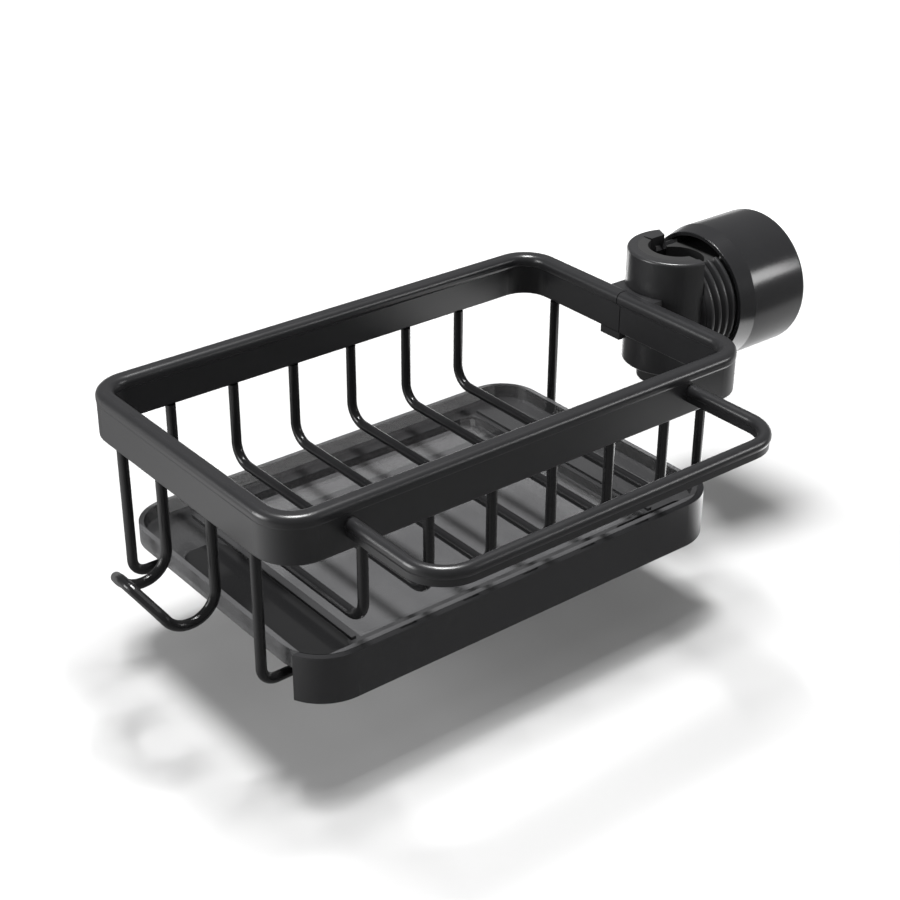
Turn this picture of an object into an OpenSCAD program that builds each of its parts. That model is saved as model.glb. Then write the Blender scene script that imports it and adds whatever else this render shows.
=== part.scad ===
// Sink organizer basket with a pull-out drip tray, a towel bar, a side hook and a screw pipe clamp.
// The origin is on the axis of the pipe, at mid height of the clamp. The basket lies toward -X,
// its front is toward -Y, and the clamp knob points toward +X.

/* [Basket rim] */
// Length of the rim over its bead
rim_l = 217.4; // [180:0.2:260]
// Width of the rim over its bead
rim_w = 131; // [110:1:150]
// Height of the rim profile
rim_h = 18.2; // [15:0.1:26]
// Corner radius of the rim in plan, outside
rim_corner = 16; // [12:0.5:30]
// Width of the rounded bead along the top of the rim
bead_w = 7; // [5.6:0.1:8]
// Height of the bead
bead_h = 5.4; // [4:0.1:6]
// Thickness of the band under the bead
band_t = 4.6; // [4.2:0.1:5]
// Distance that the bead stands out over the band's outer face
band_out = 0.2; // [0.1:0.1:0.8]
// Distance of the wires' welds in from the middle of the band
weld_in = 1.4; // [0:0.1:2]
// Rounding of the band's lower edges
band_round = 0.7; // [0.3:0.1:1.5]
// Distance of the rim's closing seam from the middle of its end
seam_at = 3.5; // [0:0.5:6]
// Width of the seam
seam_gap = 0.4; // [0.2:0.1:0.8]
// Free space between the rim and the clamp jaw
rim_gap = 1.9; // [1.5:0.1:8]
// Depth of the rim's top below the top of the clamp jaw
rim_drop = 14.7; // [8:0.1:20]

/* [Basket wires] */
// Diameter of the wires
wire_d = 4; // [3:0.1:4]
// Pitch of the cross wires
wire_pitch = 28; // [20:0.5:30]
// Shift of the row of cross wires along the basket
wire_shift = -4; // [-8:0.5:8]
// Height from the rim's top to the underside of the cross wires
basket_depth = 53.5; // [35:0.5:54]
// Centre-line radius of the wires' lower bends
wire_bend = 8; // [6:0.5:12]

/* [Tray rails] */
// Distance between the two rails
rail_gap = 88; // [70:1:100]
// Height from the rim's top to the underside of the rails
rail_drop = 75.3; // [74:0.1:95]
// Centre-line radius of the rails' lower bends
rail_bend = 6; // [5:0.5:10]

/* [Side hook] */
// Distance between the two legs of the hook
hook_w = 33; // [26:0.5:40]
// Height from the band's underside to the lowest centre line of the hook
hook_drop = 40.8; // [34:0.1:48]
// Centre-line radius of the bend under each leg
hook_bend = 10.5; // [8:0.5:14]
// Angle at which the tip rises
hook_tilt = 57; // [45:1:75]
// Length of the rising part, along its slope
tip_run = 11; // [11:0.5:20]
// Width of the tip between its two corners
tip_w = 6.4; // [6:0.2:9]
// Centre-line radius of the tip's corners
tip_bend = 6.5; // [4:0.5:7]
// Centre-line radius of the bend where each limb turns inward
limb_bend = 4; // [3:0.5:6]

/* [Towel bar] */
// Distance between the two legs of the towel bar
bar_span = 156; // [120:1:164]
// Distance from the band to the centre line of the bar
bar_reach = 44.9; // [35:0.1:60]
// Width of the bar's section
bar_w = 5; // [4.6:0.1:6]
// Height of the bar's section
bar_h = 6.6; // [5.6:0.1:8]
// Amount by which the flat foot of that section is narrower on each side
foot_in = 0.5; // [0.2:0.1:1]
// Centre-line radius of the bar's corners
bar_corner = 14; // [8:0.5:20]
// Shift of the bar along the basket
bar_shift = -3; // [-6:0.5:6]
// Head diameter of the screws that hold the bar
screw_head_d = 6; // [5:0.1:7]
// Height of these heads
screw_head_h = 2; // [1.4:0.1:3]
// Shank diameter of these screws
screw_d = 3; // [2:0.1:3.2]
// Length of these screws under the head
screw_l = 12; // [9:0.5:16]

/* [Drip tray] */
// Room between each end of the tray pan and the rails' upright legs
pan_room = 5.7; // [4:0.1:18]
// Distance from the basket's middle to the back of the pan
pan_back = 64.6; // [60:0.2:66]
// Distance from the basket's middle to the front face of the tray
tray_front_y = 65; // [62:0.2:68]
// Depth of the tray's top below the rim's top
tray_top_drop = 59.6; // [58:0.1:61]
// Height of the pan's rim, from its top to the underside of its ledges
pan_rim_h = 7.6; // [6:0.1:9]
// Wall and floor thickness of the pan
pan_t = 2; // [1.5:0.1:2.5]
// Corner radius of the pan in plan
pan_corner = 17.5; // [10:0.5:24]
// Length of the sunk basin
basin_l = 137; // [110:1:150]
// Width of the ledge along the pan's long sides
ledge_w = 8.5; // [6:0.5:14]
// Width of the raised shelf at the hook's end of the pan
shelf_w = 19; // [14:0.5:22]
// Length of that shelf, from the front wall
shelf_l = 88; // [60:1:110]
// Height of the shelf above the ledge
shelf_h = 4; // [2:0.2:5]
// Radius of the shelf's corners in plan
shelf_round = 8; // [4:0.5:9]
// Length of the finger recess in the front ledge
recess_l = 36; // [20:1:60]
// Width of that recess
recess_w = 7; // [4:0.5:8]
// Depth of that recess
recess_d = 1.2; // [0.6:0.1:1.6]
// Distance from the pan's end wall to the recess
recess_in = 8; // [6:0.5:30]
// Width of the raised bead at each end of the basin
rib_w = 2; // [1.5:0.1:3]
// Height of that bead
rib_h = 1.2; // [0.8:0.1:2]
// Height of the tray's front panel
front_h = 18.8; // [14:0.2:24]
// Thickness of the front panel
front_t = 2.4; // [2:0.1:3.5]
// Distance from the front face to the ends of the panel, round the front corners
front_wrap = 12; // [9:0.5:30]
// Length of the gaps along the panel's top, between its clips
clip_gap_l = 7; // [4:0.5:10]
// Depth of these gaps into the panel
clip_gap_t = 0.9; // [0.6:0.1:1.2]
// Height of these gaps
clip_gap_h = 2.4; // [1.5:0.1:4]
// Pitch of these gaps
clip_pitch = 28; // [20:0.5:36]
// Running height between the pan and the rails
pan_ride = 0.3; // [0.3:0.05:0.5]

/* [Pipe clamp] */
// Diameter of the pipe that the clamp holds
pipe_d = 23; // [20:0.5:25]
// Thickness of the rubber liner
liner_t = 4.4; // [3:0.1:6]
// Wall thickness of the jaw around the liner
jaw_t = 4.05; // [3:0.05:5]
// Height of the jaw
jaw_h = 50; // [48:0.5:58]
// Rounding of the jaw's edges
jaw_round = 1.2; // [0.6:0.1:2]
// Distance from the pipe's axis back to the front end of the half-round jaw
jaw_back = 3.4; // [1:0.1:5]
// Distance from the pipe's axis forward to the end of the jaw's wall at the back
jaw_wrap = 8; // [4:0.1:8.4]
// Core diameter of the split barrel that carries the thread
barrel_d = 44.4; // [42:0.2:46]
// Distance from the pipe's axis to the end of the barrel
barrel_end = 34; // [28:0.5:36]
// Length of the liner's sleeve below the jaw
sleeve_l = 8; // [4:0.5:12]
// Wall thickness of that sleeve
sleeve_t = 1.6; // [1.2:0.1:2.5]
// Width of the saddle between the jaw and the rim
saddle_w = 25; // [18:0.5:28]
// Shift of the saddle along the rim
saddle_shift = 2; // [-2:0.5:4]
// Depth of the saddle below the band
saddle_drop = 3.2; // [2:0.1:5]
// Distance that its lip stays back from the band's inner face
lip_in = 0.3; // [0.1:0.1:1]

/* [Knob and pusher] */
// Radial room between the barrel and the knob, which the thread's ridges take up
thread_room = 3.2; // [2.4:0.1:4]
// Wall thickness of the knob round its bore
knob_shell = 3.4; // [2.6:0.1:5]
// Length of the knob
knob_l = 38; // [34:0.5:44]
// Distance from the pipe's axis to the knob's open end
knob_at = 12.2; // [10:0.2:16]
// Length of the chamfer at the knob's open end
chamfer_l = 7.3; // [4:0.1:9]
// Thickness of the knob's end wall
knob_wall = 6; // [5:0.1:8]
// Rounding of the knob's closed end
knob_round = 2.5; // [1:0.1:4]
// Thickness of the rubber pad on the pusher
pad_t = 2.5; // [2:0.1:4]
// Height of the pusher
pusher_h = 40; // [30:0.5:42]
// Diameter of the pusher's pivot in the knob
pivot_d = 8; // [6:0.1:12]
// Depth of that pivot in the knob's end wall
pivot_l = 4; // [3:0.1:4.6]

/* [Clearances] */
// Running clearance of the pivot, each side
pivot_fit = 0.05; // [0.02:0.01:0.1]
// Clearance between parts that slide or are pressed near each other
slide_fit = 0.3; // [0.2:0.05:0.5]
// Clearance between the pan and the front panel that is clipped on it
panel_fit = 0.25; // [0.2:0.05:0.4]
// Clearance of pieces that sit in one another without moving
seat_fit = 0.05; // [0.02:0.01:0.1]

/* [Hidden] */
$fn = 48;
wire_fn = 24;
eps = 0.01;
wire_count = 6;
// Overlap of each straight length of wire into a bend, and the bend's extra thickness there
lap = 0.25;
bend_extra = 0.04;

// Radii of the clamp, from the pipe outward
pipe_r = pipe_d / 2;
liner_r = pipe_r + liner_t;
jaw_r = liner_r + seat_fit + jaw_t;

// Places of the basket
basket_x = -(jaw_r + rim_gap + rim_l / 2);
rim_top = jaw_h / 2 - rim_drop;
band_bottom = rim_top - rim_h;
// Half lengths of the band's centre line, and of the line on which every wire is welded
band_x = rim_l / 2 - band_out - band_t / 2;
band_y = rim_w / 2 - band_out - band_t / 2;
band_corner = rim_corner - band_out - band_t / 2;
line_x = band_x - weld_in;
line_y = band_y - weld_in;
// Outer and inner edges of the bead, from the band's centre line, and its roundings above and below
bead_out = band_t / 2 + band_out;
bead_in = bead_out - bead_w;
bead_round = min(bead_w, bead_h) * 0.48;
bead_under = min(bead_w, bead_h) * 0.32;
band_face_y = band_y + band_t / 2;
band_face_x = band_x + band_t / 2;

wire_z = rim_top - basket_depth + wire_d / 2;
rail_z = rim_top - rail_drop + wire_d / 2;
rail_y = rail_gap / 2;

// Heights of the tray
tray_top = rim_top - tray_top_drop;
pan_bottom = rail_z + wire_d / 2 + pan_ride;
pan_l = 2 * (line_x - wire_d / 2 - pan_room);
ledge_z = tray_top - pan_rim_h + pan_t;
pan_front_y = tray_front_y - front_t - panel_fit;
pan_w = pan_front_y + pan_back;
pan_y = (pan_back - pan_front_y) / 2;
front_l = pan_l + 2 * (front_t + panel_fit);
front_corner = pan_corner + front_t + panel_fit;
basin_w = pan_w - 2 * (pan_t + ledge_w);
basin_corner = max(pan_corner - pan_t - ledge_w, 3);

// Places of the towel bar, whose top is tucked under the bead
bar_x = basket_x + bar_shift;
bar_top = rim_top - bead_h - slide_fit;
bar_y = -(band_face_y + bar_reach);
screw_z = bar_top - bar_h / 2;

// Sizes and places of the knob and of what is inside it
knob_bore = barrel_d + 2 * thread_room;
knob_d = knob_bore + 2 * knob_shell;
slot_w = pipe_d + 1;
pusher_w = slot_w - 2 * slide_fit;
pad_r = pipe_r + slide_fit;
pad_back = pad_r + pad_t;
knob_end = knob_at + knob_l;
wall_at = knob_end - knob_wall;

function unit(v) = v / norm(v);
function turn_angle(a, b, c) = acos(unit(b - a) * unit(c - b));
function bend_cut(a, b, c, r) = r * tan(turn_angle(a, b, c) / 2);

// A straight rod from p to q
module rod(p, q, d) {
    v = q - p;
    translate(p)
        rotate([0, acos(v.z / norm(v)), atan2(v.y, v.x)])
            cylinder(h = norm(v), d = d, $fn = wire_fn);
}

// A bend of the wire at corner b, on the way from a to c
module bend(a, b, c, r, d) {
    u = unit(b - a);
    w = unit(c - b);
    angle = turn_angle(a, b, c);
    centre = b + unit(w - u) * r / cos(angle / 2);
    start = b - u * bend_cut(a, b, c, r);
    e = unit(start - centre);
    n = unit(cross(u, w));
    multmatrix([[e.x, u.x, n.x, centre.x],
                [e.y, u.y, n.y, centre.y],
                [e.z, u.z, n.z, centre.z],
                [0, 0, 0, 1]])
        rotate_extrude(angle = angle)
            translate([r, 0])
                circle(d = d + bend_extra, $fn = wire_fn);
}

// A wire along the points p, with the bend radii r at its inner points
module wire(p, r, d) {
    last = len(p) - 1;
    cut = [for (i = [0:last]) i == 0 || i == last ? 0 : bend_cut(p[i - 1], p[i], p[i + 1], r[i])];
    for (i = [1:last]) {
        u = unit(p[i] - p[i - 1]);
        from = i == 1 ? 0 : cut[i - 1] - lap;
        to = i == last ? 0 : cut[i] - lap;
        rod(p[i - 1] + u * from, p[i] - u * to, d);
    }
    for (i = [1:last - 1])
        bend(p[i - 1], p[i], p[i + 1], r[i], d);
}

// A closed ring that carries the 2-D section along a rounded rectangle; the section's x points outward
module ring(hx, hy, r) {
    for (s = [0:3]) {
        long = s % 2 == 0 ? hy - r : hx - r;
        out = s % 2 == 0 ? hx : hy;
        rotate([0, 0, 90 * s])
            translate([0, long, 0])
                rotate([90, 0, 0])
                    linear_extrude(height = 2 * long)
                        translate([out, 0])
                            children();
        rotate([0, 0, 90 * s])
            translate([out - r, long, 0])
                rotate_extrude(angle = 90)
                    translate([r, 0])
                        children();
    }
}

// A slab with a rounded-rectangle plan, from z0 to z1
module slab(lx, ly, r, z0, z1) {
    translate([-lx / 2 + r, -ly / 2, z0])
        cube([lx - 2 * r, ly, z1 - z0]);
    translate([-lx / 2, -ly / 2 + r, z0])
        cube([lx, ly - 2 * r, z1 - z0]);
    for (sx = [-1, 1], sy = [-1, 1])
        translate([sx * (lx / 2 - r), sy * (ly / 2 - r), z0])
            cylinder(h = z1 - z0, r = r);
}

// Section of the rim: a round bead on a flat band with rounded lower edges
module rim_section() {
    translate([-band_t / 2, band_bottom + band_round])
        square([band_t, rim_h - bead_h / 2 - band_round]);
    translate([-band_t / 2 + band_round, band_bottom])
        square([band_t - 2 * band_round, rim_h - bead_h / 2]);
    for (s = [-1, 1])
        translate([s * (band_t / 2 - band_round), band_bottom + band_round])
            circle(r = band_round);
    translate([bead_in, rim_top - bead_h + bead_under])
        square([bead_w, bead_h - bead_under - bead_round]);
    translate([bead_in + bead_round, rim_top - bead_h])
        square([bead_w - 2 * bead_round, bead_h]);
    for (x = [bead_in + bead_round, bead_out - bead_round])
        translate([x, rim_top - bead_round])
            circle(r = bead_round);
    for (x = [bead_in + bead_under, bead_out - bead_under])
        translate([x, rim_top - bead_h + bead_under])
            circle(r = bead_under);
    translate([bead_in + bead_under, rim_top - bead_h])
        square([bead_w - 2 * bead_under, bead_under]);
}

module rim_frame() {
    color("#1d1d1f")
        difference() {
            translate([basket_x, 0, 0])
                ring(band_x, band_y, band_corner)
                    rim_section();
            translate([basket_x + band_x - bead_w, seam_at - seam_gap / 2, band_bottom - 1])
                cube([2 * bead_w, seam_gap, rim_h + 2]);
            for (s = [-1, 1])
                translate([bar_x + s * bar_span / 2, 0, screw_z])
                    rotate([90, 0, 0])
                        cylinder(h = rim_w, d = screw_d + 2 * seat_fit);
        }
}

// One of the cross wires, counted from the hook's end
module basket_wire(i) {
    x = basket_x + wire_shift + (i - (wire_count + 1) / 2) * wire_pitch;
    color("#1a1a1c")
        wire([[x, -line_y, band_bottom], [x, -line_y, wire_z], [x, line_y, wire_z],
              [x, line_y, band_bottom]], [0, wire_bend, wire_bend, 0], wire_d);
}

module tray_rail(side) {
    y = side * rail_y;
    x0 = basket_x - line_x;
    x1 = basket_x + line_x;
    color("#1a1a1c")
        wire([[x0, y, band_bottom], [x0, y, rail_z], [x1, y, rail_z], [x1, y, band_bottom]],
             [0, rail_bend, rail_bend, 0], wire_d);
}

// A point on the rising part of the hook, at a distance along its slope
function slope_point(x, low, along, y) = [x - hook_bend * (1 + sin(hook_tilt)) - 2 * lap - along * cos(hook_tilt),
    y, low + hook_bend * (1 - cos(hook_tilt)) + along * sin(hook_tilt)];

// One wire: down a leg, round under it, up to a narrow tip and back the same way
module side_hook() {
    x = basket_x - line_x;
    low = band_bottom - hook_drop;
    half = hook_w / 2;
    turn_at = limb_bend / 2;
    way = [[x, half, band_bottom],
           [x, half, low],
           [x - hook_bend * (1 + tan(hook_tilt / 2)) - 2 * lap, half, low],
           slope_point(x, low, turn_at, half),
           slope_point(x, low, tip_run, tip_w / 2)];
    back = [for (i = [len(way) - 1:-1:0]) [way[i].x, -way[i].y, way[i].z]];
    radii = [0, hook_bend, hook_bend, limb_bend, tip_bend, tip_bend, limb_bend, hook_bend, hook_bend, 0];
    color("#1a1a1c")
        wire(concat(way, back), radii, wire_d);
}

// Section of the towel bar: a round top on a short flat foot
module bar_section() {
    translate([0, bar_top - bar_w / 2])
        circle(d = bar_w);
    translate([-bar_w / 2 + foot_in, bar_top - bar_h])
        square([bar_w - 2 * foot_in, bar_h - bar_w / 2]);
}

module towel_bar() {
    leg = bar_reach - bar_corner;
    color("#1d1d1f")
        difference() {
            union() {
                for (s = [-1, 1]) {
                    translate([bar_x + s * bar_span / 2, -band_face_y, 0])
                        rotate([90, 0, 0])
                            linear_extrude(height = leg)
                                bar_section();
                    translate([bar_x + s * (bar_span / 2 - bar_corner), -band_face_y - leg, 0])
                        mirror([s > 0 ? 0 : 1, 0, 0])
                            rotate([0, 0, -90])
                                rotate_extrude(angle = 90)
                                    translate([bar_corner, 0])
                                        bar_section();
                }
                translate([bar_x - bar_span / 2 + bar_corner, bar_y, 0])
                    rotate([90, 0, 90])
                        linear_extrude(height = bar_span - 2 * bar_corner)
                            bar_section();
            }
            for (s = [-1, 1])
                translate([bar_x + s * bar_span / 2, 0, screw_z])
                    rotate([90, 0, 0])
                        cylinder(h = band_y - band_t / 2 + screw_l + 1, d = screw_d + 2 * seat_fit);
        }
}

// The two screws that hold the towel bar, with their heads inside the band
module bar_screws() {
    color("#2b2b2e")
        for (s = [-1, 1])
            translate([bar_x + s * bar_span / 2, -(band_y - band_t / 2), screw_z])
                rotate([90, 0, 0]) {
                    cylinder(h = screw_l, d = screw_d);
                    translate([0, 0, -screw_head_h])
                        cylinder(h = screw_head_h, d = screw_head_d);
                }
}

module tray_pan() {
    inner_x = pan_l / 2 - pan_t;
    inner_y = pan_w / 2 - pan_t;
    color("#3a3a3e", 0.6)
        translate([basket_x, pan_y, 0]) {
            difference() {
                union() {
                    slab(pan_l, pan_w, pan_corner, tray_top - pan_rim_h, tray_top);
                    slab(basin_l + 2 * pan_t, basin_w + 2 * pan_t, basin_corner + pan_t,
                         pan_bottom, ledge_z);
                }
                slab(inner_x * 2, inner_y * 2, pan_corner - pan_t, ledge_z, tray_top + 1);
                slab(basin_l, basin_w, basin_corner, pan_bottom + pan_t, ledge_z + 1);
                translate([inner_x - recess_in - recess_l / 2, -inner_y + ledge_w / 2, 0])
                    slab(recess_l, recess_w, recess_w / 2 - eps, ledge_z - recess_d, ledge_z + 1);
            }
            for (s = [-1, 1])
                translate([s * (basin_l / 2 + pan_t + rib_w / 2) - rib_w / 2, -basin_w / 2, ledge_z])
                    cube([rib_w, basin_w, rib_h]);
            translate([-inner_x + slide_fit + shelf_w / 2, -inner_y + slide_fit + shelf_l / 2, 0])
                slab(shelf_w, shelf_l, shelf_round, ledge_z - eps, ledge_z + shelf_h);
        }
}

// Front panel of the tray, which wraps round its front corners
module tray_front() {
    panel_w = pan_w + 2 * (front_t + panel_fit);
    gaps = floor((pan_l - 2 * pan_corner) / clip_pitch);
    color("#151517")
        translate([basket_x, pan_y, 0])
            difference() {
                slab(front_l, panel_w, front_corner, tray_top - front_h, tray_top);
                slab(front_l - 2 * front_t, panel_w - 2 * front_t, front_corner - front_t,
                     tray_top - front_h - 1, tray_top + 1);
                translate([-front_l, -panel_w / 2 + front_wrap, tray_top - front_h - 2])
                    cube([2 * front_l, 2 * panel_w, front_h + 4]);
                for (i = [0:gaps - 1])
                    translate([(i - (gaps - 1) / 2) * clip_pitch - clip_gap_l / 2,
                               -panel_w / 2 + front_t - clip_gap_t, tray_top - clip_gap_h])
                        cube([clip_gap_l, 2 * clip_gap_t, clip_gap_h + 1]);
            }
}

// Section of a tube wall with rounded outer edges
module wall_section(r0, r1, z0, z1, round) {
    translate([r0, z0])
        square([r1 - r0 - round, z1 - z0]);
    translate([r0, z0 + round])
        square([r1 - r0, z1 - z0 - 2 * round]);
    for (z = [z0 + round, z1 - round])
        translate([r1 - round, z])
            circle(r = round);
}

// Half-round jaw, whose wall reaches farther round at the back, and the split barrel on its open side
module clamp_jaw() {
    big = 3 * jaw_h;
    color("#18181a") {
        jaw_wall(liner_r + seat_fit, 90 + asin(jaw_back / jaw_r), 270 - asin(jaw_back / jaw_r));
        difference() {
            union() {
                translate([-jaw_back, 0, 0])
                    rotate([0, 90, 0])
                        cylinder(h = barrel_end + jaw_back, d = barrel_d);
                jaw_wall(slot_w / 2, acos(jaw_wrap / jaw_r), 90 + asin(jaw_back / jaw_r));
            }
            translate([-jaw_back - 1, -slot_w / 2, -big / 2])
                cube([big, slot_w, big]);
        }
    }
}

// A stretch of the jaw's round wall, from one angle to another
module jaw_wall(inner_r, from, to) {
    rotate([0, 0, from])
        rotate_extrude(angle = to - from)
            wall_section(inner_r, jaw_r, -jaw_h / 2, jaw_h / 2, jaw_round);
}

// Block between the jaw and the rim, with a lip that grips under the band
module clamp_saddle() {
    face_x = basket_x + band_face_x;
    lip_w = saddle_w / 2 + saddle_shift - seam_at;
    color("#18181a") {
        difference() {
            translate([face_x, saddle_shift - saddle_w / 2, band_bottom - saddle_drop])
                cube([-face_x, saddle_w, rim_h + saddle_drop - bead_round / 2]);
            cylinder(h = 2 * jaw_h, r = jaw_r + seat_fit, center = true);
            translate([face_x - 1, -saddle_w, rim_top - bead_h - seat_fit])
                cube([band_out + 1, 2 * saddle_w, bead_h + 1]);
        }
        translate([face_x - band_t + lip_in, seam_at, band_bottom - saddle_drop])
            cube([band_t - lip_in + eps, lip_w, saddle_drop]);
    }
}

module jaw_liner() {
    gap = jaw_back + 2 * seat_fit;
    color("#0f0f10")
        difference() {
            union() {
                cylinder(h = jaw_h, r = liner_r, center = true);
                translate([0, 0, -jaw_h / 2 - sleeve_l])
                    cylinder(h = sleeve_l + 1, r = pipe_r + sleeve_t);
            }
            cylinder(h = 3 * jaw_h, r = pipe_r, center = true);
            translate([-gap, -jaw_r, -jaw_h])
                cube([2 * jaw_r, 2 * jaw_r, 3 * jaw_h]);
        }
}

module pusher_block() {
    color("#202023") {
        translate([pad_back, -pusher_w / 2, -pusher_h / 2])
            cube([wall_at - slide_fit - pad_back, pusher_w, pusher_h]);
        translate([wall_at - slide_fit - 1, 0, 0])
            rotate([0, 90, 0])
                cylinder(h = pivot_l + 1, d = pivot_d);
    }
}

module pusher_pad() {
    color("#0f0f10")
        difference() {
            translate([pipe_r / 2, -pusher_w / 2, -pusher_h / 2])
                cube([pad_back - pipe_r / 2, pusher_w, pusher_h]);
            cylinder(h = 2 * pusher_h, r = pad_r, center = true);
        }
}

// Half section of the knob, with its axis along the section's y
module knob_section() {
    r = knob_d / 2;
    round = knob_round;
    difference() {
        union() {
            translate([0, chamfer_l])
                square([r, knob_l - chamfer_l - round]);
            square([r - round, knob_l]);
            translate([r - round, knob_l - round])
                circle(r = round);
            polygon([[0, 0], [(knob_bore + knob_d) / 4, 0], [r, chamfer_l], [0, chamfer_l]]);
        }
        translate([-1, -1])
            square([knob_bore / 2 + 1, knob_l - knob_wall + 1]);
        translate([-1, -1])
            square([pivot_d / 2 + pivot_fit + 1, knob_l - knob_wall + pivot_l + slide_fit + 1]);
    }
}

module clamp_knob() {
    color("#18181a")
        translate([knob_at, 0, 0])
            rotate([0, 90, 0])
                rotate_extrude()
                    intersection() {
                        knob_section();
                        square([knob_d, knob_l]);
                    }
}

rim_frame();
basket_wire(1);  // basket_wire_1
basket_wire(2);  // basket_wire_2
basket_wire(3);  // basket_wire_3
basket_wire(4);  // basket_wire_4
basket_wire(5);  // basket_wire_5
basket_wire(6);  // basket_wire_6
tray_rail(-1);  // tray_rail_front
tray_rail(1);  // tray_rail_back
side_hook();
towel_bar();
bar_screws();
tray_pan();
tray_front();
clamp_jaw();
clamp_saddle();
jaw_liner();
pusher_block();
pusher_pad();
clamp_knob();
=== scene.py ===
"""Sink organizer basket: the looks of its pieces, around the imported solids.
Lengths are in millimetres until a piece is finished, which turns them into metres."""
import math
import bmesh
import bpy
from mathutils import Matrix, Vector


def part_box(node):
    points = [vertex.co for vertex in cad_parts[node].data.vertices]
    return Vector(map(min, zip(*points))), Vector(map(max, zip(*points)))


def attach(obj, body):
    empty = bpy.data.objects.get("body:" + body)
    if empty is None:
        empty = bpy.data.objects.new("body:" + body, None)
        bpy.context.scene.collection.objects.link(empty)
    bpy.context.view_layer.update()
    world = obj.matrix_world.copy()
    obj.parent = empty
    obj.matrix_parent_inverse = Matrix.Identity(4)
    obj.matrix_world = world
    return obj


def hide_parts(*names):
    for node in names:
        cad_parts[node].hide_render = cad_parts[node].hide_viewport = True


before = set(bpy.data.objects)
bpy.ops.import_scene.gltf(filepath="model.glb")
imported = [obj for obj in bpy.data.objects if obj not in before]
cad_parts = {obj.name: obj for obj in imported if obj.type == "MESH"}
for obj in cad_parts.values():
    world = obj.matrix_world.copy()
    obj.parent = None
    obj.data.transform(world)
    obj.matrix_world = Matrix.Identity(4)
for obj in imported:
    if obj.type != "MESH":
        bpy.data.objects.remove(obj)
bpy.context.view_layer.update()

MM = 0.001
FULL_TURN = 2 * math.pi


# Sizes taken from the solids
def box_mm(node):
    """Lowest and highest corner of a solid, in millimetres."""
    low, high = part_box(node)
    return low / MM, high / MM


knob_low, knob_high = box_mm("clamp_knob")
jaw_high = box_mm("clamp_jaw")[1]
pan_low, pan_high = box_mm("tray_pan")
screws_low, screws_high = box_mm("bar_screws")

# Tray pan: its wall, the ledge round its basin, the basin's length and the raised shelf
PAN_WALL = 2.0
LEDGE_W = 8.5
BASIN_L = 137.0
SHELF_L = 88.0
SHELF_W = 19.0

# Knob: shell round the bore, closed end, rounding, chamfer and pivot hole
KNOB_R = knob_high.y
KNOB_SIDES = 128
KNOB_SHELL = 3.4
KNOB_BORE_R = KNOB_R - KNOB_SHELL
KNOB_END_WALL = 6.0
KNOB_ROUND = 2.5
CHAMFER_L = 7.3
CHAMFER_DEEP = 1.7
PIVOT_HOLE_R = 4.05
PIVOT_HOLE_DEEP = 4.3

# Thread: barrel and slot, pitch, room over the crest, depth of the foot in the barrel, a ridge's section,
# and how far the first and the last ridge stay from the barrel's ends
BARREL_R = jaw_high.y
JAW_BACK = 3.4
SLOT_HALF = 12.0
SLOT_ROOM = 0.4
THREAD_PITCH = 4.1
CREST_ROOM = 0.45
FOOT_SUNK = 0.25
THREAD_CREST_R = KNOB_BORE_R - CREST_ROOM
THREAD_FOOT_R = BARREL_R - FOOT_SUNK
SHOULDER_DROP = 0.45
CREST_HALF = 0.55
SHOULDER_HALF = 1.0
FOOT_HALF = 1.45
RIDGE_STEPS = 40
FIRST_RIDGE_IN = 1.6
LAST_RIDGE_IN = 1.7

# Screws of the towel bar: head, its dome and edge, socket, shank and tip
HEAD_R = 3.0
HEAD_H = 2.0
HEAD_EDGE = 0.15
DOME_TOP_R = 1.55
DOME_ANGLES = (12, 30, 48, 66, 84)
SOCKET_RIM_R = 1.6
SOCKET_HALF = 1.25
SOCKET_TAPER = 0.05
SOCKET_DEEP = 1.2
SHANK_R = 1.5
TIP_IN = 0.3
TIP_L = 0.4
RING_CORNERS = 48


# Shader groups
def new_group(name, inputs, input_kind, outputs):
    """A shader node group with inputs of one kind and number outputs, and its input and output node."""
    group = bpy.data.node_groups.new(name, "ShaderNodeTree")
    for socket in inputs:
        group.interface.new_socket(socket, in_out="INPUT", socket_type=input_kind)
    for socket in outputs:
        group.interface.new_socket(socket, in_out="OUTPUT", socket_type="NodeSocketFloat")
    return group, group.nodes.new("NodeGroupInput"), group.nodes.new("NodeGroupOutput")


def math_node(tree, operation, first, second):
    """A Math node; each side is a number or a socket."""
    node = tree.nodes.new("ShaderNodeMath")
    node.operation = operation
    for place, value in ((0, first), (1, second)):
        if isinstance(value, (int, float)):
            node.inputs[place].default_value = value
        else:
            tree.links.new(value, node.inputs[place])
    return node.outputs[0]


def vector_node(tree, operation, first, second=None):
    """A Vector Math node; the first side is a socket, and the second a socket, a fixed vector or nothing."""
    node = tree.nodes.new("ShaderNodeVectorMath")
    node.operation = operation
    tree.links.new(first, node.inputs[0])
    if isinstance(second, tuple):
        node.inputs[1].default_value = second
    elif second is not None:
        tree.links.new(second, node.inputs[1])
    return node


def noise(tree, coords, scale, detail, rough):
    """A noise pattern on object coordinates; scale is a socket, in cells per metre."""
    node = tree.nodes.new("ShaderNodeTexNoise")
    node.inputs["Detail"].default_value = detail
    node.inputs["Roughness"].default_value = rough
    tree.links.new(scale, node.inputs["Scale"])
    tree.links.new(coords, node.inputs["Vector"])
    return node.outputs["Fac"]


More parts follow.
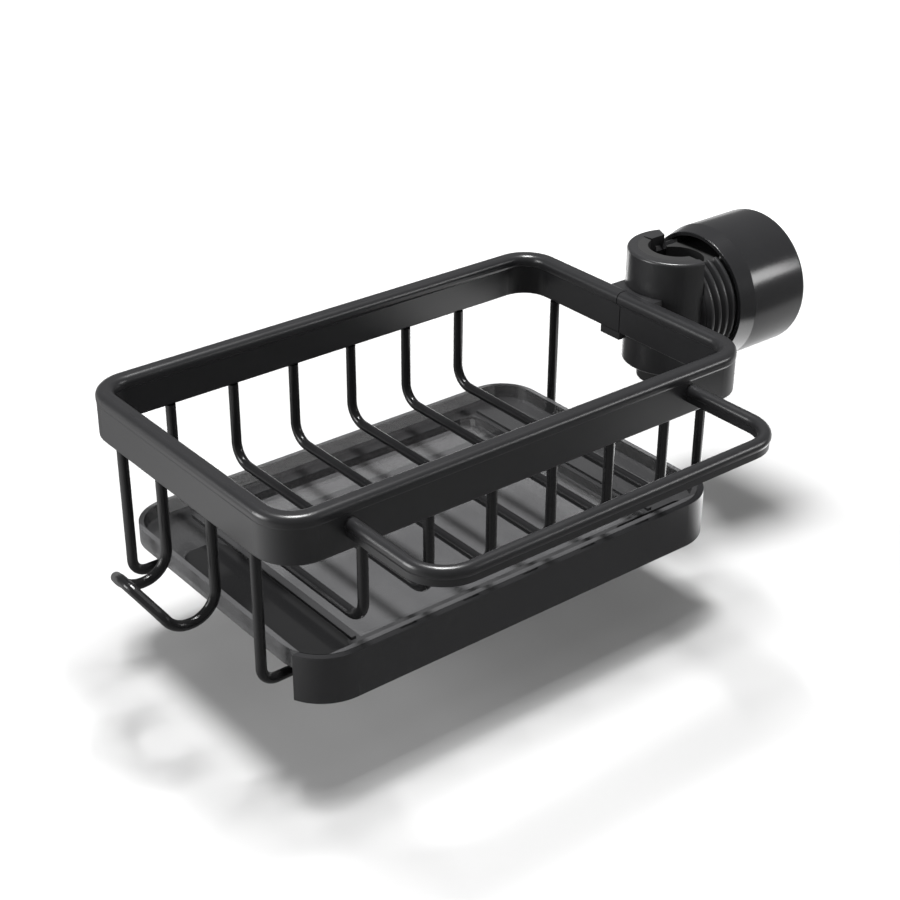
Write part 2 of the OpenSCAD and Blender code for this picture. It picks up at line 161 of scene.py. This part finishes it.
def surface_group():
    """Fine grain, soft waviness and faint handling marks, as values that change over a surface."""
    group, into, out = new_group(
        "surface_grain", ("Grain Scale", "Wave Scale", "Wave Share", "Mark Scale", "Rough Low", "Rough High"),
        "NodeSocketFloat", ("Height", "Roughness", "Marks"))
    coords = group.nodes.new("ShaderNodeTexCoord").outputs["Object"]
    grain = noise(group, coords, into.outputs["Grain Scale"], detail=3.0, rough=0.6)
    wave = noise(group, coords, into.outputs["Wave Scale"], detail=1.0, rough=0.4)
    marks = noise(group, coords, into.outputs["Mark Scale"], detail=4.0, rough=0.65)
    height = math_node(group, "ADD", grain, math_node(group, "MULTIPLY", wave, into.outputs["Wave Share"]))
    span = math_node(group, "SUBTRACT", into.outputs["Rough High"], into.outputs["Rough Low"])
    marks_share = 0.7
    blend = math_node(group, "ADD", math_node(group, "MULTIPLY", marks, marks_share),
                      math_node(group, "MULTIPLY", grain, 1 - marks_share))
    rough = math_node(group, "ADD", into.outputs["Rough Low"], math_node(group, "MULTIPLY", span, blend))
    group.links.new(height, out.inputs["Height"])
    group.links.new(rough, out.inputs["Roughness"])
    group.links.new(marks, out.inputs["Marks"])
    return group


def inside_box_group():
    """1 inside a box, given by its centre and half size in metres, and 0 outside."""
    group, into, out = new_group(
        "inside_box", ("Place", "Centre", "Half Size"), "NodeSocketVector", ("Inside",))
    offset = vector_node(group, "SUBTRACT", into.outputs["Place"], into.outputs["Centre"])
    distance = vector_node(group, "ABSOLUTE", offset.outputs[0])
    room = vector_node(group, "SUBTRACT", into.outputs["Half Size"], distance.outputs[0])
    parts = group.nodes.new("ShaderNodeSeparateXYZ")
    group.links.new(room.outputs[0], parts.inputs[0])
    least = math_node(group, "MINIMUM", parts.outputs[0], parts.outputs[1])
    least = math_node(group, "MINIMUM", least, parts.outputs[2])
    group.links.new(math_node(group, "GREATER_THAN", least, 0.0), out.inputs["Inside"])
    return group


SURFACE = surface_group()
INSIDE_BOX = inside_box_group()


def inside_box(tree, centre, half):
    """1 where a point of the object lies in the box."""
    node = tree.nodes.new("ShaderNodeGroup")
    node.node_tree = INSIDE_BOX
    tree.links.new(tree.nodes.new("ShaderNodeTexCoord").outputs["Object"], node.inputs["Place"])
    node.inputs["Centre"].default_value = centre
    node.inputs["Half Size"].default_value = half
    return node.outputs["Inside"]


def pan_part(low_x, low_y, length, width):
    """Centre and half size, in metres, of a part of the pan that is measured from the pan's low corner."""
    low = Vector((pan_low.x + low_x, pan_low.y + low_y, pan_low.z))
    high = Vector((low.x + length, low.y + width, pan_high.z))
    return (low + high) / 2 * MM, (high - low) / 2 * MM


PAN_L = pan_high.x - pan_low.x
PAN_W = pan_high.y - pan_low.y
LEDGES = pan_part(PAN_WALL, PAN_WALL, PAN_L - 2 * PAN_WALL, PAN_W - 2 * PAN_WALL)
BASIN = pan_part((PAN_L - BASIN_L) / 2, PAN_WALL + LEDGE_W, BASIN_L, PAN_W - 2 * (PAN_WALL + LEDGE_W))
SHELF = pan_part(PAN_WALL, PAN_WALL, SHELF_W, SHELF_L)


# Finishes: handling marks in cells per metre, depth of the relief, and how the surface bends light
MARK_SCALE = 30.0
RELIEF_DEEP = 0.12
PLASTIC_IOR = 1.45


def mixed_shade(tree, factor):
    """A Mix node for colours, led by a factor."""
    node = tree.nodes.new("ShaderNodeMix")
    node.data_type = "RGBA"
    tree.links.new(factor, node.inputs["Factor"])
    return node


def finish_material(name, dark, light, rough, bump, grain=2200.0, wave=240.0, wave_share=0.5, specular=0.5):
    """A solid finish: two close shades mixed by the handling marks, a roughness range and a fine relief."""
    material = bpy.data.materials.new(name)
    material.use_nodes = True
    tree = material.node_tree
    shader = tree.nodes["Principled BSDF"]
    group = tree.nodes.new("ShaderNodeGroup")
    group.node_tree = SURFACE
    for socket, value in (("Grain Scale", grain), ("Wave Scale", wave), ("Wave Share", wave_share),
                          ("Mark Scale", MARK_SCALE), ("Rough Low", rough[0]), ("Rough High", rough[1])):
        group.inputs[socket].default_value = value
    shade = mixed_shade(tree, group.outputs["Marks"])
    shade.inputs["A"].default_value = (*dark, 1)
    shade.inputs["B"].default_value = (*light, 1)
    tree.links.new(shade.outputs["Result"], shader.inputs["Base Color"])
    tree.links.new(group.outputs["Roughness"], shader.inputs["Roughness"])
    relief = tree.nodes.new("ShaderNodeBump")
    relief.inputs["Strength"].default_value = bump
    relief.inputs["Distance"].default_value = RELIEF_DEEP * MM
    tree.links.new(group.outputs["Height"], relief.inputs["Height"])
    tree.links.new(relief.outputs["Normal"], shader.inputs["Normal"])
    shader.inputs["IOR"].default_value = PLASTIC_IOR
    shader.inputs["Specular IOR Level"].default_value = specular
    return material


def smoke(material, face_on, edge_on, in_shadow, painted_shade_colour, ledge_painted_shade, shelf_painted_shade, extra):
    """Makes a finish see-through: how much it covers face on, edge on and for shadows.
    The ledge and the shelf take their share of a painted shade, a darker colour, and of the extra cover."""
    tree = material.node_tree
    shader = tree.nodes["Principled BSDF"]
    shade = shader.inputs["Base Color"].links[0].from_socket
    # Painted shade: the ledge and the shelf are mixed toward a dark colour and covered more.
    ledge = math_node(tree, "SUBTRACT", inside_box(tree, *LEDGES), inside_box(tree, *BASIN))
    painted_shade_mask = math_node(tree, "MAXIMUM", math_node(tree, "MULTIPLY", ledge, ledge_painted_shade),
                     math_node(tree, "MULTIPLY", inside_box(tree, *SHELF), shelf_painted_shade))
    painted_shade_mix = mixed_shade(tree, painted_shade_mask)
    tree.links.new(shade, painted_shade_mix.inputs["A"])
    painted_shade_mix.inputs["B"].default_value = (*painted_shade_colour, 1)
    tree.links.new(painted_shade_mix.outputs["Result"], shader.inputs["Base Color"])
    facing = tree.nodes.new("ShaderNodeLayerWeight")
    facing.inputs["Blend"].default_value = 0.35
    cover = tree.nodes.new("ShaderNodeMapRange")
    cover.inputs["To Min"].default_value = face_on
    cover.inputs["To Max"].default_value = edge_on
    tree.links.new(facing.outputs["Facing"], cover.inputs["Value"])
    closed = math_node(tree, "ADD", cover.outputs["Result"], math_node(tree, "MULTIPLY", painted_shade_mask, extra))
    shadow_ray = tree.nodes.new("ShaderNodeLightPath").outputs["Is Shadow Ray"]
    alpha = math_node(tree, "MAXIMUM", closed, math_node(tree, "MULTIPLY", shadow_ray, in_shadow))
    tree.links.new(alpha, shader.inputs["Alpha"])


coated_rim = finish_material("coated_rim", (0.012, 0.012, 0.013), (0.018, 0.018, 0.019), (0.26, 0.34),
                             0.08, grain=1900.0, wave=260.0)
coated_wire = finish_material("coated_wire", (0.007, 0.007, 0.0075), (0.011, 0.011, 0.0115), (0.18, 0.26),
                              0.08, grain=2600.0, wave=300.0, specular=0.36)
clamp_plastic = finish_material("clamp_plastic", (0.017, 0.017, 0.018), (0.024, 0.024, 0.025), (0.26, 0.34),
                                0.10, grain=3200.0, wave=180.0, wave_share=0.3)
knob_plastic = finish_material("knob_plastic", (0.012, 0.012, 0.013), (0.018, 0.018, 0.019), (0.15, 0.22),
                               0.05, grain=3000.0, wave=160.0, wave_share=0.3)
panel_plastic = finish_material("panel_plastic", (0.015, 0.015, 0.016), (0.019, 0.019, 0.020), (0.22, 0.30),
                                0.06, grain=3000.0, wave=140.0, wave_share=0.4)
liner_rubber = finish_material("liner_rubber", (0.010, 0.010, 0.010), (0.018, 0.018, 0.018), (0.55, 0.72),
                               0.35, grain=2600.0, wave=500.0)
screw_steel = finish_material("screw_steel", (0.030, 0.030, 0.032), (0.045, 0.045, 0.048), (0.25, 0.40),
                              0.10)
smoked_plastic = finish_material("smoked_plastic", (0.072, 0.072, 0.074), (0.112, 0.112, 0.115), (0.08, 0.14),
                                 0.03, grain=1200.0, wave=90.0, wave_share=1.0)
# The dark colour mixed in on the tray's ledge and shelf is painted shade.
smoke(smoked_plastic, face_on=0.70, edge_on=0.90, in_shadow=0.85, painted_shade_colour=(0.006, 0.006, 0.0063),
      ledge_painted_shade=0.62, shelf_painted_shade=0.95, extra=0.26)

NODE_FINISH = {
    "rim_frame": coated_rim, "towel_bar": coated_rim, "side_hook": coated_wire,
    "tray_rail_front": coated_wire, "tray_rail_back": coated_wire,
    "clamp_jaw": clamp_plastic, "clamp_saddle": clamp_plastic, "clamp_knob": knob_plastic,
    "jaw_liner": liner_rubber, "pusher_block": clamp_plastic, "pusher_pad": liner_rubber,
    "tray_front": panel_plastic, "tray_pan": smoked_plastic, "bar_screws": screw_steel,
}
for number in range(1, 7):
    NODE_FINISH[f"basket_wire_{number}"] = coated_wire
for node, finish in NODE_FINISH.items():
    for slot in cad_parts[node].material_slots:
        slot.material = finish


# Making pieces
def round_edges(made, width, segments, angle):
    """Rounds the edges of a piece that turn by more than an angle in degrees."""
    rounding = made.modifiers.new("rounding", "BEVEL")
    rounding.width = width * MM
    rounding.segments = segments
    rounding.limit_method = "ANGLE"
    rounding.angle_limit = math.radians(angle)
    rounding.harden_normals = True


def make_piece(name, shape, body, finish, sharp=35.0):
    """Turns a shape in millimetres into a named piece in metres that rides on a body."""
    bmesh.ops.remove_doubles(shape, verts=shape.verts, dist=1e-4)
    bmesh.ops.recalc_face_normals(shape, faces=shape.faces)
    bmesh.ops.scale(shape, vec=(MM, MM, MM), verts=shape.verts)
    for face in shape.faces:
        face.smooth = True
    for edge in shape.edges:
        if len(edge.link_faces) == 2 and edge.calc_face_angle(0.0) > math.radians(sharp):
            edge.smooth = False
    mesh = bpy.data.meshes.new(name)
    shape.to_mesh(mesh)
    shape.free()
    made = bpy.data.objects.new(name, mesh)
    bpy.context.scene.collection.objects.link(made)
    mesh.materials.append(finish)
    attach(made, body)
    return made


# Knob
def quarter_round(centre_x, centre_r, radius, count):
    """Points of a profile's rounded corner, from the end face to the outside."""
    turns = [math.pi / 2 * k / count for k in range(count + 1)]
    return [(centre_x + radius * math.cos(t), centre_r + radius * math.sin(t)) for t in turns]


def knob_piece():
    """The cap nut: rounded closed end, chamfered open end, bore and pivot hole."""
    end, start = knob_high.x, knob_low.x
    wall = end - KNOB_END_WALL
    floor = wall + PIVOT_HOLE_DEEP
    profile = [(end, 0.0)]
    profile += quarter_round(end - KNOB_ROUND, KNOB_R - KNOB_ROUND, KNOB_ROUND, 8)
    profile += [(start + CHAMFER_L, KNOB_R), (start, KNOB_R - CHAMFER_DEEP), (start, KNOB_BORE_R),
                (wall, KNOB_BORE_R), (wall, PIVOT_HOLE_R), (floor, PIVOT_HOLE_R), (floor, 0.0)]
    shape = bmesh.new()
    corners = [shape.verts.new((x, 0, r)) for x, r in profile]
    edges = [shape.edges.new(pair) for pair in zip(corners, corners[1:])]
    bmesh.ops.spin(shape, geom=corners + edges, cent=(0, 0, 0), axis=(1, 0, 0), dvec=(0, 0, 0),
                   angle=FULL_TURN, steps=KNOB_SIDES, use_merge=True, use_duplicate=False)
    made = make_piece("knob_cap", shape, "knob", knob_plastic)
    round_edges(made, 0.35, segments=3, angle=9.0)
    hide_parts("clamp_knob")


knob_piece()


# Thread on the split barrel
def ridge_section(place):
    """Corners of a ridge cut across, as distance along the barrel and distance from its axis."""
    shoulder_r = THREAD_CREST_R - SHOULDER_DROP
    halves = ((FOOT_HALF, THREAD_FOOT_R), (SHOULDER_HALF, shoulder_r), (CREST_HALF, THREAD_CREST_R))
    rising = [(place - half, r) for half, r in halves]
    falling = [(place + half, r) for half, r in reversed(halves)]
    return rising + falling


def thread_ridges():
    """Right-hand ridges on the barrel's two halves, open where the slot is."""
    shape = bmesh.new()
    half_arc = math.acos((SLOT_HALF + SLOT_ROOM) / THREAD_CREST_R)
    lead = THREAD_PITCH * half_arc / math.pi
    first = FIRST_RIDGE_IN - JAW_BACK
    last = jaw_high.x - LAST_RIDGE_IN
    for side in (0.0, math.pi):
        start = math.pi + side - half_arc
        place = first + THREAD_PITCH * side / FULL_TURN
        while place + lead < last:
            corners = [shape.verts.new((x, r * math.cos(start), r * math.sin(start)))
                       for x, r in ridge_section(place)]
            face = shape.faces.new(corners)
            bmesh.ops.spin(shape, geom=[face], cent=(0, 0, 0), axis=(1, 0, 0),
                           dvec=(lead / RIDGE_STEPS, 0, 0), angle=2 * half_arc, steps=RIDGE_STEPS,
                           use_duplicate=False)
            place += THREAD_PITCH
    make_piece("barrel_thread", shape, "basket", clamp_plastic, sharp=75.0)


thread_ridges()


# Screws of the towel bar
def screw_ring(shape, centre_x, y, half_width, hexagon=False):
    """One ring of corners across a screw: a circle, or a hexagon of that half width."""
    centre_z = (screws_low.z + screws_high.z) / 2
    corners = []
    for k in range(RING_CORNERS):
        turn = FULL_TURN * k / RING_CORNERS
        reach = half_width
        if hexagon:
            reach /= math.cos(turn % (math.pi / 3) - math.pi / 6)
        place = (centre_x + reach * math.cos(turn), y, centre_z + reach * math.sin(turn))
        corners.append(shape.verts.new(place))
    return corners


def ring_faces(shape, rings):
    """Faces between rings of corners that follow each other, with both ends closed."""
    for near, far in zip(rings, rings[1:]):
        for k in range(len(near)):
            shape.faces.new((near[k - 1], near[k], far[k], far[k - 1]))
    shape.faces.new(rings[0])
    shape.faces.new(rings[-1][::-1])


def bar_screw_pair():
    """Two round-headed screws with hexagon sockets, heads toward the basket's inside."""
    shape = bmesh.new()
    tip, top = screws_low.y, screws_high.y
    under = top - HEAD_H
    round_rings = [(tip, SHANK_R - TIP_IN), (tip + TIP_L, SHANK_R), (under, SHANK_R),
                   (under, HEAD_R - HEAD_EDGE), (under + HEAD_EDGE, HEAD_R)]
    for angle in DOME_ANGLES:
        rise = math.radians(angle)
        dome_r = DOME_TOP_R + (HEAD_R - DOME_TOP_R) * math.cos(rise)
        round_rings.append((under + HEAD_H * math.sin(rise), dome_r))
    round_rings.append((top, SOCKET_RIM_R))
    socket_rings = [(top, SOCKET_HALF), (top - SOCKET_DEEP, SOCKET_HALF - SOCKET_TAPER)]
    for centre_x in (screws_low.x + HEAD_R, screws_high.x - HEAD_R):
        rings = [screw_ring(shape, centre_x, y, half) for y, half in round_rings]
        rings += [screw_ring(shape, centre_x, y, half, hexagon=True) for y, half in socket_rings]
        ring_faces(shape, rings)
    made = make_piece("bar_screw_pair", shape, "basket", screw_steel, sharp=50.0)
    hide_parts("bar_screws")


bar_screw_pair()

# Soft edges on solids that stay
for node, width in (("tray_front", 0.5), ("clamp_saddle", 0.5), ("tray_pan", 0.4), ("pusher_block", 0.6),
                    ("clamp_jaw", 0.5), ("jaw_liner", 0.7)):
    round_edges(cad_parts[node], width, segments=2, angle=40.0)

# Floor: its height, the grey of its lit part, and the even glow that glossy rays see in it apart from the
# bright patches
FLOOR_Z = -0.104
FLOOR_HALF = 6.0
FLOOR_GREY = (0.53, 0.53, 0.53, 1)
SHINE_BASE = 0.27
LEFT = (-1.0, 0.0, 0.0)
RIGHT = (1.0, 0.0, 0.0)
BACK = (0.0, 1.0, 0.0)
# Painted reflections: bright patches where the floor glows for glossy rays only, in metres: strength, two
# directions with the distances between which the patch appears, a direction with the distances between which
# it fades, and the share that is lost there
SHINE_PATCHES = (
    (1.15, (LEFT, 0.25, 0.35), (BACK, -0.22, 0.08), (BACK, 0.10, 0.24), 0.5),
    (1.5, (BACK, -0.19, -0.12), (RIGHT, 0.012, 0.034), (RIGHT, 0.05, 0.08), 0.55),
    (3.0, (BACK, -0.20, -0.15), (RIGHT, 0.045, 0.058), (RIGHT, 0.085, 0.105), 1.0),
)
# The camera sees the floor turn white between these distances from a point under the object
WHITE_CENTRE = (-0.10, -0.05, FLOOR_Z)
WHITE_FROM = 0.24
WHITE_FULL = 0.60


def ramp(tree, value, low, high):
    """A smooth 0 to 1 ramp of a value."""
    made = tree.nodes.new("ShaderNodeMapRange")
    made.interpolation_type = "SMOOTHSTEP"
    made.inputs["From Min"].default_value = low
    made.inputs["From Max"].default_value = high
    tree.links.new(value, made.inputs["Value"])
    return made.outputs["Result"]


def along(tree, place, direction, low, high):
    """A 0 to 1 ramp along a direction on the floor, between two distances in metres."""
    return ramp(tree, vector_node(tree, "DOT_PRODUCT", place, direction).outputs["Value"], low, high)


def shine_patch(tree, place, strength, first, second, fade, lost):
    """One soft-edged patch of painted reflection, where the floor glows for glossy rays."""
    patch = math_node(tree, "MULTIPLY", along(tree, place, *first), along(tree, place, *second))
    left = math_node(tree, "SUBTRACT", 1.0, math_node(tree, "MULTIPLY", along(tree, place, *fade), lost))
    return math_node(tree, "MULTIPLY", math_node(tree, "MULTIPLY", patch, left), strength)


def seen_directly(tree, path):
    """1 for what the camera sees, also through see-through plastic."""
    return math_node(tree, "MAXIMUM", path.outputs["Is Camera Ray"], path.outputs["Is Transmission Ray"])


def floor_material():
    """Pale floor that keeps the object's shadow and turns white far out; glossy rays see it glow, with bright
    patches of painted reflection.
    """
    material = bpy.data.materials.new("pale_floor")
    material.use_nodes = True
    tree = material.node_tree
    shader = tree.nodes["Principled BSDF"]
    shader.inputs["Base Color"].default_value = FLOOR_GREY
    shader.inputs["Roughness"].default_value = 0.9
    shader.inputs["Specular IOR Level"].default_value = 0.0
    shader.inputs["Emission Color"].default_value = (1, 1, 1, 1)
    place = tree.nodes.new("ShaderNodeTexCoord").outputs["Object"]
    path = tree.nodes.new("ShaderNodeLightPath")
    distance = vector_node(tree, "DISTANCE", place, WHITE_CENTRE).outputs["Value"]
    far = ramp(tree, distance, WHITE_FROM, WHITE_FULL)
    white = math_node(tree, "MULTIPLY", seen_directly(tree, path), far)
    tree.links.new(white, shader.inputs["Emission Strength"])
    shine = SHINE_BASE
    for patch in SHINE_PATCHES:
        shine = math_node(tree, "ADD", shine, shine_patch(tree, place, *patch))
    # Painted reflections: the floor glows only for glossy rays.
    glow = tree.nodes.new("ShaderNodeEmission")
    tree.links.new(shine, glow.inputs["Strength"])
    mixed = tree.nodes.new("ShaderNodeMixShader")
    tree.links.new(path.outputs["Is Glossy Ray"], mixed.inputs[0])
    tree.links.new(shader.outputs["BSDF"], mixed.inputs[1])
    tree.links.new(glow.outputs["Emission"], mixed.inputs[2])
    tree.links.new(mixed.outputs["Shader"], tree.nodes["Material Output"].inputs["Surface"])
    return material


def add_floor():
    """One large pale plane under the object."""
    shape = bmesh.new()
    bmesh.ops.create_grid(shape, x_segments=2, y_segments=2, size=FLOOR_HALF)
    bmesh.ops.translate(shape, vec=(0, 0, FLOOR_Z), verts=shape.verts)
    mesh = bpy.data.meshes.new("floor")
    shape.to_mesh(mesh)
    shape.free()
    floor = bpy.data.objects.new("floor", mesh)
    bpy.context.scene.collection.objects.link(floor)
    mesh.materials.append(floor_material())


add_floor()

# Light: what the surround gives to the object, and the lamps with their place, size and power
SURROUND = 0.22
LAMP_TARGET = (-0.11, 0, -0.02)
LAMPS = (
    ("top_light", (-0.07, 0.08, 1.15), (0.34, 0.34), 27.0),
    ("right_light", (0.72, -0.80, 0.33), (0.44, 0.24), 3.6),
    ("left_light", (-1.0, 0.35, 0.22), (0.4, 0.4), 7.0),
)


def add_surround():
    """Even soft surround: white to the camera, dimmer as light on the object."""
    world = bpy.data.worlds.new("studio")
    bpy.context.scene.world = world
    world.use_nodes = True
    tree = world.node_tree
    backdrop = tree.nodes["Background"]
    backdrop.inputs["Color"].default_value = (1, 1, 1, 1)
    path = tree.nodes.new("ShaderNodeLightPath")
    level = math_node(tree, "MAXIMUM", seen_directly(tree, path), SURROUND)
    tree.links.new(level, backdrop.inputs["Strength"])


def add_lamp(name, place, size, power):
    """A rectangular soft lamp that faces the object."""
    data = bpy.data.lights.new(name, "AREA")
    data.shape = "RECTANGLE"
    data.size, data.size_y = size
    data.energy = power
    lamp = bpy.data.objects.new(name, data)
    bpy.context.scene.collection.objects.link(lamp)
    lamp.location = place
    lamp.rotation_mode = "QUATERNION"
    lamp.rotation_quaternion = (Vector(LAMP_TARGET) - Vector(place)).to_track_quat("-Z", "Y")


add_surround()
for lamp in LAMPS:
    add_lamp(*lamp)

# Camera: its place, its angles in radians, and its lens as a focal length in pixels of the 900 pixel picture
CAMERA_PLACE = (-0.4934, -0.4680, 0.2977)
CAMERA_TURN = -0.6759
CAMERA_RISE = 0.5005
CAMERA_ROLL = 0.0059
FOCAL_PIXELS = 1762.94
PICTURE_PIXELS = 900
SENSOR_W = 36.0


def add_camera():
    """The photograph's place, direction and lens."""
    turn, rise, roll = CAMERA_TURN, CAMERA_RISE, CAMERA_ROLL
    back = Vector((math.sin(turn) * math.cos(rise), -math.cos(turn) * math.cos(rise), math.sin(rise)))
    level = Vector((math.cos(turn), math.sin(turn), 0))
    upright = back.cross(level)
    right = level * math.cos(roll) + upright * math.sin(roll)
    up = upright * math.cos(roll) - level * math.sin(roll)
    data = bpy.data.cameras.new("camera")
    data.sensor_width = SENSOR_W
    data.lens = SENSOR_W * FOCAL_PIXELS / PICTURE_PIXELS
    data.clip_start = 0.01
    data.clip_end = 50
    camera = bpy.data.objects.new("camera", data)
    bpy.context.scene.collection.objects.link(camera)
    place = Matrix((right, up, back)).transposed().to_4x4()
    place.translation = Vector(CAMERA_PLACE)
    camera.matrix_world = place
    bpy.context.scene.camera = camera


add_camera()
bpy.context.scene.view_settings.view_transform = "Standard"
